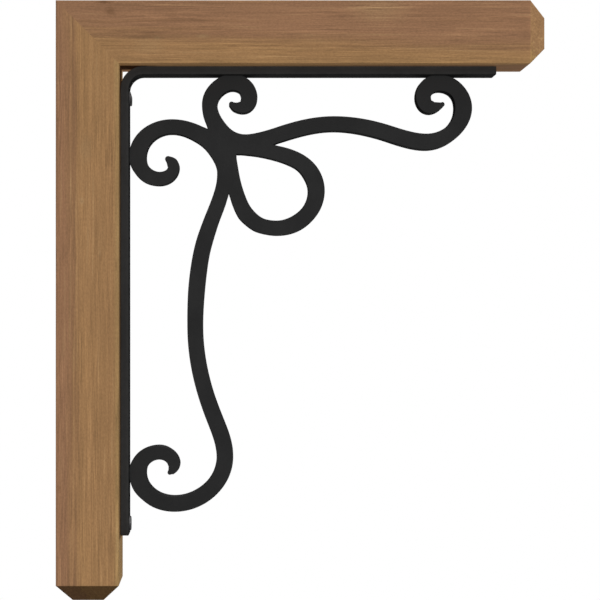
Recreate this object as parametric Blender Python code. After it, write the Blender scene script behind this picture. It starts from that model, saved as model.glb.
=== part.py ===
"""A timber bracket with an iron strap and scrollwork in its inner corner.

Metres, +Z up. The wall is the plane x = 0, the arm runs along +X, and y = 0 is the middle of the
timber's depth. The origin is the middle of the flat face that lies against the wall.
Drawn sizes below are in millimetres, measured out from the wall and down from the top face.
"""

import math

import bmesh
import bpy
from mathutils import Vector
from mathutils.geometry import delaunay_2d_cdt

MM = 0.001

# Timber: dressed stock, set with its narrower face to the side
TIMBER_THICK = 63.5
TIMBER_DEPTH = 88.9
HEIGHT = 604.9
REACH = 493.3
END_CHAMFER = 16.2
GAP = 0.3

# Strap: one flat bar, bent to the inner corner
STRAP_THICK = 8.6
STRAP_WIDTH = 38.1
STRAP_INNER_RADIUS = 14.6
STRAP_OUT_END = 445.7
STRAP_DOWN_END = 540.6
BEND_STEPS = 14
BEND_SMOOTH = math.radians(20)

# Scrollwork: bars set on edge, all of one depth
SCROLL_DEPTH = 25.4
TURN_PER_STEP = math.radians(8)
LONGEST_STEP = 12.0
CAP_STEPS = 6
SCROLL_SMOOTH = math.radians(25)
FLAT_ENOUGH = math.radians(1)
SMALLEST_FACE = 0.001
SAME_POINT = 0.05

# Screws through the strap's upright leg: how far down each lies, and how high its head stands
SCREWS = {"screw_upper": (95.5, 2.3), "screw_lower": (529.5, 1.6)}
HEAD_ACROSS_FLATS = 14.3
HEAD_CHAMFER = 0.5
SHANK_DIAMETER = 9.5
SHANK_LENGTH = 50.8
TIP_LENGTH = 6.0
TIP_DIAMETER = 2.9
SHANK_SIDES = 24
BORE_REACH = 5.0

FLAT_WALL_HEIGHT = HEIGHT - END_CHAMFER
STRAP_BACK = TIMBER_THICK + GAP
STRAP_FACE = STRAP_BACK + STRAP_THICK

# Centre lines of the bars, as stations: out, down, heading in degrees, width of the bar.
# Heading 0 points away from the wall and 90 points up.
POST_SCROLL = (
    (112.2, 157.8, -30, 6.5),
    (116.2, 161.6, -56, 11.6),
    (117.8, 165.5, -90, 11.8),
    (103.5, 177.6, 180, 13.8),
    (87.8, 171.4, 135, 15.4),
    (81.1, 155.5, 90, 17.7),
    (116.0, 124.4, 0, 14.5),
    (148.2, 135.0, -33, 16.4),
    (163.3, 151.9, -58, 15.8),
    (169.7, 171.0, -91, 15.4),
    (168.4, 183.9, -99, 14.6),
    (165.1, 196.6, -106, 15.0),
    (157.0, 218.2, -110, 15.5),
    (149.6, 240.0, -107, 16.6),
    (141.8, 283.4, -96, 17.1),
    (139.7, 328.0, -90, 16.0),
    (150.4, 396.6, -73, 16.2),
    (158.1, 418.6, -69, 16.5),
    (170.0, 461.0, -90, 17.0),
    (154.4, 495.3, -138, 15.7),
    (118.8, 509.3, 180, 15.3),
    (92.4, 500.0, 138, 15.6),
    (84.4, 490.8, 118, 16.9),
    (81.1, 477.5, 91, 17.8),
    (103.3, 456.8, 0, 14.0),
    (113.5, 460.6, -38, 13.0),
    (118.2, 469.5, -92, 12.5),
    (116.1, 475.1, -121, 8.4),
    (113.8, 477.0, -138, 4.6),
)
ARM_SCROLL = (
    (176.8, 101.8, -50, 5.4),
    (181.5, 104.7, -13, 8.8),
    (187.2, 104.8, 0, 12.0),
    (191.2, 102.7, 42, 15.2),
    (194.8, 95.8, 90, 16.8),
    (190.1, 83.7, 137, 16.0),
    (177.5, 79.3, 180, 16.2),
    (161.9, 86.4, -136, 16.2),
    (154.5, 102.0, -90, 15.8),
    (157.8, 116.8, -64, 16.4),
    (166.8, 129.3, -50, 16.0),
    (192.0, 140.5, 3, 16.0),
    (234.8, 129.5, 17, 15.5),
    (281.0, 121.5, 0, 14.9),
    (329.7, 129.0, -16, 15.6),
    (375.5, 139.9, 0, 16.2),
    (401.4, 129.8, 42, 15.4),
    (413.1, 105.5, 90, 17.2),
    (406.0, 87.3, 134, 15.4),
    (388.0, 80.0, 180, 16.6),
    (377.0, 84.0, -138, 17.0),
    (372.2, 94.5, -90, 15.2),
    (374.6, 101.9, -52, 14.4),
    (380.4, 104.8, -5, 13.1),
    (384.0, 104.8, 10, 10.3),
    (388.0, 103.7, 22, 7.7),
    (391.4, 102.0, 34, 4.8),
)
TEARDROP = (
    (180.0, 145.2, -3, 14.5),
    (210.0, 148.5, -12, 14.3),
    (246.9, 160.8, -32, 15.8),
    (258.6, 173.5, -60, 17.2),
    (263.3, 190.0, -90, 16.8),
    (245.0, 221.5, -148, 16.6),
    (223.0, 227.9, 180, 15.1),
    (210.8, 226.4, 167, 14.8),
    (200.2, 221.8, 140, 15.6),
    (190.9, 213.1, 129, 16.4),
    (185.2, 201.6, 113, 15.2),
    (176.1, 166.5, 98, 14.6),
    (173.6, 138.0, 90, 13.8),
)
# Weld in the narrow gap where the post's and the arm's scrolls run together: patches of (out, down)
HUB_WELD = (
    ((144.3, 123.6), (152.6, 127.1), (171.0, 148.0), (150.0, 137.0)),
    ((152.6, 127.1), (150.5, 120.6), (158.0, 117.0), (172.0, 137.0), (171.0, 148.0)),
)


def place(out, across, down):
    """A drawn point as a place in the model."""
    return Vector((out * MM, across * MM, (FLAT_WALL_HEIGHT / 2 - down) * MM))


def clear_scene():
    for thing in list(bpy.data.objects):
        bpy.data.objects.remove(thing, do_unlink=True)


def finish(name, colour, roughness, metallic):
    """A Principled material, with its colour in linear values."""
    material = bpy.data.materials.new(name)
    material.use_nodes = True
    shader = material.node_tree.nodes["Principled BSDF"]
    shader.inputs["Base Color"].default_value = (*colour, 1.0)
    shader.inputs["Roughness"].default_value = roughness
    shader.inputs["Metallic"].default_value = metallic
    return material


def new_object(name, shape, material, smooth_angle=None):
    """Turns a bmesh into a named object, with its faces pointing out."""
    bmesh.ops.recalc_face_normals(shape, faces=shape.faces)
    mesh = bpy.data.meshes.new(name)
    shape.to_mesh(mesh)
    shape.free()
    if smooth_angle is not None:
        mesh.shade_smooth()
        mesh.set_sharp_from_angle(angle=smooth_angle)
    thing = bpy.data.objects.new(name, mesh)
    thing.data.materials.append(material)
    bpy.context.scene.collection.objects.link(thing)
    return thing


def timber(name, length, axes, mitre_gap, material):
    """A square-edged timber with a mitred start and a chamfered far end.

    It is drawn along its run and across its thickness; axes turns that into out and down.
    """
    half = TIMBER_DEPTH / 2
    rings = (
        (None, 0.0),
        (length - END_CHAMFER, 0.0),
        (length, END_CHAMFER),
    )
    shape = bmesh.new()
    loops = []
    for along, inset in rings:
        low, high = inset, TIMBER_THICK - inset
        side = half - inset
        loop = []
        for across, depth in ((low, -side), (high, -side), (high, side), (low, side)):
            run = across + mitre_gap if along is None else along
            out, down = axes(run, across)
            loop.append(shape.verts.new(place(out, depth, down)))
        loops.append(loop)
    for near, far in zip(loops, loops[1:]):
        for i in range(4):
            j = (i + 1) % 4
            shape.faces.new((near[i], near[j], far[j], far[i]))
    shape.faces.new(loops[0])
    shape.faces.new(loops[-1])
    return new_object(name, shape, material)


def extruded(name, corners, depth, material, smooth_angle):
    """A flat outline in the bracket's plane, given the same depth on both sides of the middle."""
    shape = bmesh.new()
    front = shape.faces.new([shape.verts.new(place(out, -depth / 2, down)) for out, down in corners])
    grown = bmesh.ops.extrude_face_region(shape, geom=[front])
    moved = [part for part in grown["geom"] if isinstance(part, bmesh.types.BMVert)]
    bmesh.ops.translate(shape, verts=moved, vec=(0.0, depth * MM, 0.0))
    return new_object(name, shape, material, smooth_angle)


def arc(centre, radius, start, end, steps):
    """Points on an arc about (out, down), from one angle to another, 90 pointing up."""
    points = []
    for i in range(steps + 1):
        angle = math.radians(start + (end - start) * i / steps)
        points.append((centre[0] + radius * math.cos(angle), centre[1] - radius * math.sin(angle)))
    return points


def strap(material):
    """The flat bar: along the arm's underside, round the bend and down the post."""
    outer_radius = STRAP_INNER_RADIUS + STRAP_THICK
    centre = (STRAP_BACK + outer_radius, STRAP_BACK + outer_radius)
    outline = [(STRAP_OUT_END, STRAP_BACK)]
    outline += arc(centre, outer_radius, 90, 180, BEND_STEPS)
    outline += [(STRAP_BACK, STRAP_DOWN_END), (STRAP_FACE, STRAP_DOWN_END)]
    outline += arc(centre, STRAP_INNER_RADIUS, 180, 90, BEND_STEPS)
    outline += [(STRAP_OUT_END, STRAP_FACE)]
    return extruded("iron_strap", outline, STRAP_WIDTH, material, BEND_SMOOTH)


def bend_between(start, end):
    """Points, directions and widths along one smooth bend, from a station up to the next.

    The handles of the cubic are as long as a circular arc of the same turn would need.
    """
    out_a, down_a, heading_a, width_a = start
    out_b, down_b, heading_b, width_b = end
    turn = math.radians((heading_b - heading_a + 180) % 360 - 180)
    chord = math.hypot(out_b - out_a, down_b - down_a)
    reach = chord * 2 / 3 / (1 + math.cos(turn / 2))
    first, last = Vector((out_a, down_a)), Vector((out_b, down_b))
    aim_a, aim_b = math.radians(heading_a), math.radians(heading_b)
    near = first + reach * Vector((math.cos(aim_a), -math.sin(aim_a)))
    far = last - reach * Vector((math.cos(aim_b), -math.sin(aim_b)))
    steps = max(1, math.ceil(abs(turn) / TURN_PER_STEP), math.ceil(chord / LONGEST_STEP))
    for i in range(steps):
        t = i / steps
        s = 1 - t
        point = s ** 3 * first + 3 * s * s * t * near + 3 * s * t * t * far + t ** 3 * last
        slope = s * s * (near - first) + 2 * s * t * (far - near) + t * t * (last - far)
        width = width_a + (width_b - width_a) * t * t * (3 - 2 * t)
        yield point, slope.normalized(), width


def bar_faces(stations):
    """A bar laid flat: two triangles for each step of its centre line, and a round cap at each end."""
    run = [step for a, b in zip(stations, stations[1:]) for step in bend_between(a, b)]
    out, down, heading, width = stations[-1]
    aim = math.radians(heading)
    run.append((Vector((out, down)), Vector((math.cos(aim), -math.sin(aim))), width))
    left, right = [], []
    for point, slope, width in run:
        side = Vector((slope.y, -slope.x)) * width / 2
        left.append(point + side)
        right.append(point - side)
    faces = []
    for i in range(len(run) - 1):
        faces.append([left[i], right[i], right[i + 1]])
        faces.append([left[i], right[i + 1], left[i + 1]])
    for (point, slope, width), outward in ((run[0], -1), (run[-1], 1)):
        aim = math.atan2(slope.y * outward, slope.x * outward)
        fan = [aim - math.pi / 2 + math.pi * i / CAP_STEPS for i in range(CAP_STEPS + 1)]
        faces.append([point + Vector((math.cos(a), math.sin(a))) * width / 2 for a in fan])
    return faces


def against_strap(point):
    """Curls that meet the strap are dressed flat, just clear of it."""
    limit = STRAP_FACE + GAP
    return Vector((max(point.x, limit), max(point.y, limit)))


def covers(face, point):
    """Whether a point lies in a face that bulges everywhere and is listed anticlockwise."""
    return all((b - a).cross(point - a) >= 0 for a, b in zip(face, face[1:] + face[:1]))


def scrollwork(material):
    """The three bars and their weld merged into one flat outline, then given their depth."""
    laid = [[Vector(corner) for corner in patch] for patch in HUB_WELD]
    for stations in (POST_SCROLL, ARM_SCROLL, TEARDROP):
        laid += bar_faces(stations)
    faces = []
    for face in laid:
        corners = [against_strap(point) for point in face]
        area = sum(a.cross(b) for a, b in zip(corners, corners[1:] + corners[:1])) / 2
        if area < 0:
            corners.reverse()
        if abs(area) > SMALLEST_FACE:
            faces.append(corners)
    points = [corner for face in faces for corner in face]
    edges, start = [], 0
    for face in faces:
        ring = range(start, start + len(face))
        edges += zip(ring, [*ring[1:], start])
        start += len(face)
    merged, _, triangles, *_ = delaunay_2d_cdt(points, edges, [], 0, SAME_POINT)
    shape = bmesh.new()
    corners = [shape.verts.new(place(point.x, -SCROLL_DEPTH / 2, point.y)) for point in merged]
    for triangle in triangles:
        middle = sum((merged[i] for i in triangle), Vector((0, 0))) / 3
        if any(covers(face, middle) for face in faces):
            shape.faces.new([corners[i] for i in triangle])
    bmesh.ops.delete(shape, geom=[v for v in shape.verts if not v.link_faces], context="VERTS")
    bmesh.ops.dissolve_limit(
        shape, angle_limit=FLAT_ENOUGH, verts=list(shape.verts), edges=list(shape.edges),
    )
    grown = bmesh.ops.extrude_face_region(shape, geom=list(shape.faces))
    moved = [part for part in grown["geom"] if isinstance(part, bmesh.types.BMVert)]
    bmesh.ops.translate(shape, verts=moved, vec=(0.0, SCROLL_DEPTH * MM, 0.0))
    return new_object("iron_scrollwork", shape, material, SCROLL_SMOOTH)


def turned(profile, sides):
    """A solid on the X axis, from (x, radius) pairs; the two end rings are closed flat."""
    shape = bmesh.new()
    rings = []
    for x, radius in profile:
        ring = []
        for i in range(sides):
            angle = 2 * math.pi * i / sides
            spot = (x * MM, radius * MM * math.cos(angle), radius * MM * math.sin(angle))
            ring.append(shape.verts.new(spot))
        rings.append(ring)
    for near, far in zip(rings, rings[1:]):
        for i in range(sides):
            j = (i + 1) % sides
            shape.faces.new((near[i], near[j], far[j], far[i]))
    shape.faces.new(rings[0])
    shape.faces.new(rings[-1])
    return shape


def screw(name, down, height, material):
    """A hex head with a chamfered top on a plain shank that tapers at its tip."""
    seat = STRAP_FACE + GAP
    top = seat + height
    middle = seat + height / 2
    corner = HEAD_ACROSS_FLATS / math.sqrt(3)
    shank = SHANK_DIAMETER / 2
    tip = STRAP_FACE - SHANK_LENGTH
    head = turned(
        ((seat, corner), (top - HEAD_CHAMFER, corner), (top, corner - HEAD_CHAMFER * 2)), 6,
    )
    body = turned(
        ((tip, TIP_DIAMETER / 2), (tip + TIP_LENGTH, shank), (middle, shank)), SHANK_SIDES,
    )
    thing = new_object(name, head, material)
    core = new_object(name + "_core", body, material)
    core.hide_render = True
    core.display_type = "WIRE"
    weld = thing.modifiers.new("shank", "BOOLEAN")
    weld.operation = "UNION"
    weld.object = core
    for piece in (thing, core):
        piece.location = place(0.0, 0.0, down)
    return thing


def drill(name, down, pieces, material):
    """One clearance hole for a screw, through the strap and on into the post."""
    bore = SHANK_DIAMETER / 2 + GAP
    bore_tip = TIP_DIAMETER / 2 + GAP
    far = STRAP_FACE - SHANK_LENGTH
    profile = ((far - GAP, bore_tip), (far + TIP_LENGTH, bore), (STRAP_FACE + BORE_REACH, bore))
    cutter = new_object(name + "_bore", turned(profile, SHANK_SIDES), material)
    cutter.location = place(0.0, 0.0, down)
    cutter.hide_render = True
    cutter.display_type = "WIRE"
    for piece in pieces:
        cut = piece.modifiers.new(name + "_hole", "BOOLEAN")
        cut.operation = "DIFFERENCE"
        cut.object = cutter


def main():
    clear_scene()
    wood_post = finish("post_timber", (0.28, 0.16, 0.075), 0.62, 0.0)
    wood_arm = finish("arm_timber", (0.29, 0.17, 0.08), 0.62, 0.0)
    strap_iron = finish("strap_iron", (0.024, 0.024, 0.025), 0.55, 0.0)
    scroll_iron = finish("scroll_iron", (0.023, 0.023, 0.023), 0.55, 0.0)
    screw_iron = finish("screw_iron", (0.035, 0.035, 0.036), 0.5, 0.0)

    post = timber("post", HEIGHT, lambda run, across: (across, run), 0.0, wood_post)
    mitre_gap = GAP * math.sqrt(2)
    timber("arm", REACH, lambda run, across: (run, across), mitre_gap, wood_arm)
    bar = strap(strap_iron)
    scrollwork(scroll_iron)
    for name, (down, height) in SCREWS.items():
        screw(name, down, height, screw_iron)
        drill(name, down, (post, bar), strap_iron)


main()
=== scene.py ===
"""The looks of a timber bracket with an iron strap and scrollwork in its inner corner.

Metres, +Z up. The wall is the plane x = 0, the arm runs along +X and the viewer stands on the -Y side.
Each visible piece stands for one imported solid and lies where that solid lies.
"""

import math
from typing import Callable, NamedTuple

import bmesh
import bpy
import numpy as np
from bpy.props import FloatProperty, FloatVectorProperty, PointerProperty
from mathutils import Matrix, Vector, noise
from mathutils.geometry import tessellate_polygon


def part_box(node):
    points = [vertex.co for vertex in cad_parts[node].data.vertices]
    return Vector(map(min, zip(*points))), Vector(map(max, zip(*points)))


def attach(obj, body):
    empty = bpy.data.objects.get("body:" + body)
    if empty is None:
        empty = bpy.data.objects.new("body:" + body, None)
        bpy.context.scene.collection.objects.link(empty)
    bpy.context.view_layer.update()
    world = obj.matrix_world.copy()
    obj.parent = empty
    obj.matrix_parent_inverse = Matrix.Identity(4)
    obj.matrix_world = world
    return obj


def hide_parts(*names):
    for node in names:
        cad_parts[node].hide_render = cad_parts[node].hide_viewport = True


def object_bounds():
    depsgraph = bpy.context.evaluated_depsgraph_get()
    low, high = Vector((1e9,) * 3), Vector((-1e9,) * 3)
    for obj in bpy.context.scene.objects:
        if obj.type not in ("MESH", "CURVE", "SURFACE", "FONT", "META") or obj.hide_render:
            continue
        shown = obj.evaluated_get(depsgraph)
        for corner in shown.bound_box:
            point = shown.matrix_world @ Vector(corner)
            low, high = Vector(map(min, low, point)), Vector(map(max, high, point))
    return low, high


bl_info = {
    "name": "Timber Bracket",
    "version": (1, 0, 0),
    "blender": (4, 5, 0),
    "location": "View3D > Sidebar > Bracket",
    "description": "A mitred timber bracket with an iron strap, scrollwork and screws",
    "category": "Object",
}

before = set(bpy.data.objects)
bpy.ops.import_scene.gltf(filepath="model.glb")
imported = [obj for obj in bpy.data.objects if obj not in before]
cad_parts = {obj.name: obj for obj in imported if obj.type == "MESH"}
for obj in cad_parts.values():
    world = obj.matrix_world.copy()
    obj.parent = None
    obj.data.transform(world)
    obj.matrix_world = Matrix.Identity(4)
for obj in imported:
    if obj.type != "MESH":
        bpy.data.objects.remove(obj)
CAD_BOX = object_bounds()

MM = 0.001
BODY = "root"
POST_LOW, POST_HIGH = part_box("post")
ARM_LOW, ARM_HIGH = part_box("arm")
STRAP_LOW, STRAP_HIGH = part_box("iron_strap")

# Sizes that the frame gives
TOP = POST_HIGH.z
HEIGHT = POST_HIGH.z - POST_LOW.z
REACH = ARM_HIGH.x
THICK = POST_HIGH.x - POST_LOW.x
DEPTH = POST_HIGH.y - POST_LOW.y
END_CHAMFER = -(POST_LOW.z + POST_HIGH.z)
STRAP_WIDTH = STRAP_HIGH.y - STRAP_LOW.y
STRAP_BACK = STRAP_LOW.x


# Settings that a user would change

def length_setting(name, description, default, least=0.0):
    return FloatProperty(
        name=name, description=description, default=default, min=least, subtype="DISTANCE", unit="LENGTH",
    )


def colour_setting(name, description, default):
    return FloatVectorProperty(
        name=name, description=description, default=default, size=3, min=0.0, max=1.0, subtype="COLOR",
    )


def strength_setting(name, description, default):
    return FloatProperty(name=name, description=description, default=default, min=0.0)


class BracketTimberSettings(bpy.types.PropertyGroup):
    """Sizes and colours of the two timbers."""

    edge_round: length_setting("Edge rounding", "Radius sanded onto every long edge", 0.45 * MM)
    relief: length_setting("Grain relief", "How deep the soft grain lies below the hard grain", 0.10 * MM)
    step_across: length_setting("Step across", "Mesh spacing across the grain", 1.5 * MM, 0.5 * MM)
    step_along: length_setting("Step along", "Mesh spacing along the grain", 5.0 * MM, 1.0 * MM)
    ring_width: length_setting("Ring width", "Mean distance between growth rings", 1.8 * MM, 0.5 * MM)
    heartwood: colour_setting("Heartwood", "Colour near the middle of the log", (0.274, 0.143, 0.075))
    sapwood: colour_setting("Sapwood", "Colour towards the outside of the log", (0.312, 0.173, 0.074))
    pale_streak: colour_setting("Pale streak", "Colour of the palest fibres", (0.350, 0.222, 0.108))
    latewood: colour_setting("Latewood", "Colour of the hard, dark part of each ring", (0.190, 0.098, 0.043))
    # Painted shade: near black where the strap shades the inner faces, in the corner and beside it
    grime: colour_setting("Painted Shade", "Colour of the painted shade in the inner corner", (0.030, 0.010, 0.004))
    knot_colour: colour_setting("Knot", "Colour at the middle of a knot", (0.120, 0.058, 0.026))


class BracketIronSettings(bpy.types.PropertyGroup):
    """Sizes and colours of the strap and the scrollwork."""

    strap_thick: length_setting("Strap thickness", "Thickness of the strap's flat bar", 8.6 * MM, 1.0 * MM)
    bend_radius: length_setting("Bend radius", "Inner radius of the strap's bend", 14.6 * MM, 1.0 * MM)
    edge_round: length_setting("Edge rounding", "Largest radius on the bars' long edges", 0.9 * MM, 0.1 * MM)
    coating: colour_setting("Coating", "Colour of the black coating", (0.0124, 0.0124, 0.0126))
    rubbed: colour_setting("Rubbed edge", "Colour where the coating is rubbed thin", (0.045, 0.044, 0.043))


class BracketScrewSettings(bpy.types.PropertyGroup):
    """Sizes and colour of the hex heads."""

    across_flats: length_setting(
        "Across flats", "Width of the hex head between two flats", 14.3 * MM, 1.0 * MM,
    )
    washer_height: length_setting("Washer height", "Height of the round collar under the hex", 0.6 * MM)
    finish: colour_setting("Finish", "Colour of the heads", (0.135, 0.133, 0.134))


class BracketStudioSettings(bpy.types.PropertyGroup):
    """The camera, the lights and the floor."""

    lens: FloatProperty(
        name="Lens", description="Focal length on a sensor 36 mm wide", default=144.2, min=1.0, unit="CAMERA",
    )
    key_strength: strength_setting("Key light", "Strength of the wide light above the viewer", 0.6)
    fill_strength: strength_setting(
        "Fill light", "Strength of the shadowless light from the viewer's side", 3.15,
    )
    back_strength: strength_setting("Back light", "Strength of the wide light behind and below", 0.5)
    under_strength: strength_setting("Under light", "Strength of the shadowless light behind and below", 2.95)
    side_strength: strength_setting("Side light", "Strength of the weak light from the wall side", 0.6)
    spread: FloatProperty(
        name="Spread", description="How wide each light is, as seen from the bracket",
        default=math.radians(38), min=0.0, subtype="ANGLE", unit="ROTATION",
    )
    floor_drop: length_setting("Floor drop", "How far the floor lies below the post's end", 0.44)
    floor_radius: length_setting("Floor radius", "Radius of the round floor", 2.6, 0.5)


# Node wiring

class Wiring:
    """Adds nodes to one tree and joins them; most calls give back an output socket."""

    def __init__(self, tree):
        self.tree = tree

    def feed(self, socket, value):
        if isinstance(value, bpy.types.NodeSocket):
            self.tree.links.new(value, socket)
        else:
            socket.default_value = value

    def node(self, kind, inputs=None, **settings):
        made = self.tree.nodes.new("ShaderNode" + kind)
        for name, value in settings.items():
            setattr(made, name, value)
        for name, value in (inputs or {}).items():
            self.feed(made.inputs[name], value)
        return made

    def calc(self, operation, *values, clamp=False):
        made = self.node("Math", operation=operation, use_clamp=clamp)
        for socket, value in zip(made.inputs, values):
            self.feed(socket, value)
        return made.outputs[0]

    def vector(self, operation, *values):
        made = self.node("VectorMath", operation=operation)
        for socket, value in zip(made.inputs, values):
            self.feed(socket, value)
        return made.outputs["Value" if operation == "LENGTH" else "Vector"]

    def split(self, vector):
        return self.node("SeparateXYZ", {"Vector": vector}).outputs

    def join(self, x, y, z):
        return self.node("CombineXYZ", {"X": x, "Y": y, "Z": z}).outputs[0]

    def span(self, value, low, high, to_low=0.0, to_high=1.0, smooth=True):
        """Takes low to high onto to_low to to_high, held at both ends."""
        made = self.node("MapRange", interpolation_type="SMOOTHSTEP" if smooth else "LINEAR")
        for name, given in zip(
            ("Value", "From Min", "From Max", "To Min", "To Max"), (value, low, high, to_low, to_high),
        ):
            self.feed(made.inputs[name], given)
        return made.outputs["Result"]

    def blend(self, factor, first, second, mode="MIX"):
        made = self.node("Mix", data_type="RGBA", blend_type=mode, clamp_factor=True)
        for number, value in ((0, factor), (6, first), (7, second)):
            self.feed(made.inputs[number], value)
        return made.outputs[2]

    def tint(self, colour, by):
        return self.blend(1.0, colour, by, "MULTIPLY")

    def grey(self, value):
        return self.node("CombineColor", {"Red": value, "Green": value, "Blue": value}).outputs[0]

    def noise(self, vector, scale=1.0, detail=2.0, rough=0.5, output="Fac"):
        made = self.node("TexNoise", {"Vector": vector, "Scale": scale, "Detail": detail, "Roughness": rough})
        return made.outputs[output]

    def group(self, tree, inputs):
        made = self.node("Group", node_tree=tree)
        for name, value in inputs.items():
            self.feed(made.inputs[name], value)
        return made.outputs


SOCKETS = {"value": "NodeSocketFloat", "vector": "NodeSocketVector"}
NO_VECTOR = (0.0, 0.0, 0.0)


def effect(name, inputs, outputs):
    """A new shader group with named sockets: its tree, wiring, input sockets and output sockets."""
    tree = bpy.data.node_groups.new(name, "ShaderNodeTree")
    for label, kind, default in inputs:
        socket = tree.interface.new_socket(label, in_out="INPUT", socket_type=SOCKETS[kind])
        socket.default_value = default
    for label, kind in outputs:
        tree.interface.new_socket(label, in_out="OUTPUT", socket_type=SOCKETS[kind])
    start = tree.nodes.new("NodeGroupInput")
    end = tree.nodes.new("NodeGroupOutput")
    return tree, Wiring(tree), start.outputs, end.inputs


# Effects

# A noise scale is in blobs for each metre, and one of three numbers is across, deep and along the grain
KNOT_FALL = 0.16
KNOT_SPAN = (0.15, 1.25)
KNOT_RAGGED, KNOT_RAGGED_SCALE = 0.25, 420.0


def soft_knot_effect():
    """A knot: darkens at its middle, and bends the grain coordinate so that rings flow round it."""
    tree, w, given, result = effect(
        "Soft Knot",
        (("Vector", "vector", NO_VECTOR), ("Bent", "vector", NO_VECTOR), ("Middle", "vector", NO_VECTOR),
         ("Size", "value", 4.0 * MM), ("Stretch", "value", 2.0), ("Darkness", "value", 0.6),
         ("Bend", "value", 0.5), ("Mask", "value", 0.0)),
        (("Bent", "vector"), ("Mask", "value")),
    )
    away = w.split(w.vector("SUBTRACT", given["Vector"], given["Middle"]))
    squat = w.join(away["X"], away["Y"], w.calc("DIVIDE", away["Z"], given["Stretch"]))
    distance = w.calc("DIVIDE", w.vector("LENGTH", squat), given["Size"])
    fall = w.calc("MULTIPLY", w.calc("MULTIPLY", distance, distance), -KNOT_FALL)
    pull = w.calc("MULTIPLY", w.calc("EXPONENT", fall), given["Bend"])
    push = w.vector("MULTIPLY", w.join(away["X"], away["Y"], 0.0), w.join(pull, pull, 0.0))
    w.feed(result["Bent"], w.vector("SUBTRACT", given["Bent"], push))
    ragged = w.span(w.noise(given["Vector"], KNOT_RAGGED_SCALE), 0.2, 0.8, -KNOT_RAGGED, KNOT_RAGGED)
    dark = w.span(w.calc("ADD", distance, ragged), *KNOT_SPAN, 1.0, 0.0)
    w.feed(result["Mask"], w.calc("MAXIMUM", w.calc("MULTIPLY", dark, given["Darkness"]), given["Mask"]))
    return tree


RING_DRIFT, RING_DRIFT_SCALE = (3.0, 3.0, 0.0), (9.0, 9.0, 2.1)
RING_SHIVER, RING_SHIVER_SCALE = (0.32, 0.32, 0.0), (60.0, 60.0, 9.0)
RING_UNEVEN, RING_UNEVEN_SCALE = 2.6, 0.23
LATEWOOD_RISE, LATEWOOD_DROP = (0.42, 0.90), (0.92, 1.0)
LATEWOOD_WORN, LATEWOOD_WORN_SCALE = (0.30, 0.66, 0.25, 1.0), (60.0, 60.0, 7.0)


def growth_rings_effect():
    """Growth rings about a pith line that runs along Z, wandering a little on the way."""
    tree, w, given, result = effect(
        "Growth Rings",
        (("Vector", "vector", NO_VECTOR), ("Pith", "vector", NO_VECTOR), ("Ring Width", "value", 3.0 * MM),
         ("Wander", "value", 4.0 * MM)),
        (("Late", "value"), ("Tone", "value"), ("Radius", "value")),
    )
    swings = []
    for reach, scale in ((RING_DRIFT, RING_DRIFT_SCALE), (RING_SHIVER, RING_SHIVER_SCALE)):
        cloud = w.noise(w.vector("MULTIPLY", given["Vector"], scale), output="Color")
        swings.append(w.vector("MULTIPLY", w.vector("SUBTRACT", cloud, (0.5, 0.5, 0.5)), reach))
    sway = w.node("VectorMath", {"Scale": given["Wander"]}, operation="SCALE")
    w.feed(sway.inputs[0], w.vector("ADD", *swings))
    moved = w.vector("ADD", w.vector("SUBTRACT", given["Vector"], given["Pith"]), sway.outputs["Vector"])
    radius = w.vector("LENGTH", w.vector("MULTIPLY", moved, (1.0, 1.0, 0.0)))
    count = w.calc("DIVIDE", radius, given["Ring Width"])
    uneven = w.node(
        "TexNoise", {"W": w.calc("MULTIPLY", count, RING_UNEVEN_SCALE), "Scale": 1.0}, noise_dimensions="1D",
    )
    phase = w.calc("ADD", count, w.calc("MULTIPLY", uneven.outputs["Fac"], RING_UNEVEN))
    part = w.calc("FRACT", phase)
    late = w.calc("MULTIPLY", w.span(part, *LATEWOOD_RISE), w.span(part, *LATEWOOD_DROP, 1.0, 0.0))
    worn = w.span(w.noise(w.vector("MULTIPLY", given["Vector"], LATEWOOD_WORN_SCALE)), *LATEWOOD_WORN)
    w.feed(result["Late"], w.calc("MULTIPLY", late, worn))
    year = w.node("TexWhiteNoise", {"W": w.calc("FLOOR", phase)}, noise_dimensions="1D")
    w.feed(result["Tone"], year.outputs["Value"])
    w.feed(result["Radius"], radius)
    return tree


# Each kind of fibre: how its coordinate shrinks against the thread's, and its noise's detail and roughness
FIBRES = (
    ("Fine", (1.0, 1.0, 1.0), 3.0, 0.6),
    ("Streak", (0.36, 0.36, 0.24), 3.0, 0.55),
    ("Band", (0.10, 0.10, 0.05), 2.0, 0.5),
)
PORE_SHARE, PORE_OFFSET, PORE_SPAN = (1.1, 1.1, 2.2), (7.3, 2.9, 5.1), (0.64, 0.78)


def fibre_effect():
    """Fibres along Z at three scales, all from 0 to 1, and short dark pores between them."""
    tree, w, given, result = effect(
        "Wood Fibre",
        (("Vector", "vector", NO_VECTOR), ("Width", "value", 0.9 * MM), ("Length", "value", 16.0 * MM)),
        (("Fine", "value"), ("Streak", "value"), ("Band", "value"), ("Pore", "value")),
    )
    parts = w.split(given["Vector"])
    thread = w.join(
        w.calc("DIVIDE", parts["X"], given["Width"]), w.calc("DIVIDE", parts["Y"], given["Width"]),
        w.calc("DIVIDE", parts["Z"], given["Length"]),
    )
    for label, share, detail, rough in FIBRES:
        spread = w.noise(w.vector("MULTIPLY", thread, share), 1.0, detail, rough)
        w.feed(result[label], w.span(spread, 0.25, 0.75, smooth=False))
    short = w.vector("ADD", w.vector("MULTIPLY", thread, PORE_SHARE), PORE_OFFSET)
    w.feed(result["Pore"], w.span(w.noise(short, 1.0, 1.0), *PORE_SPAN))
    return tree


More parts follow.
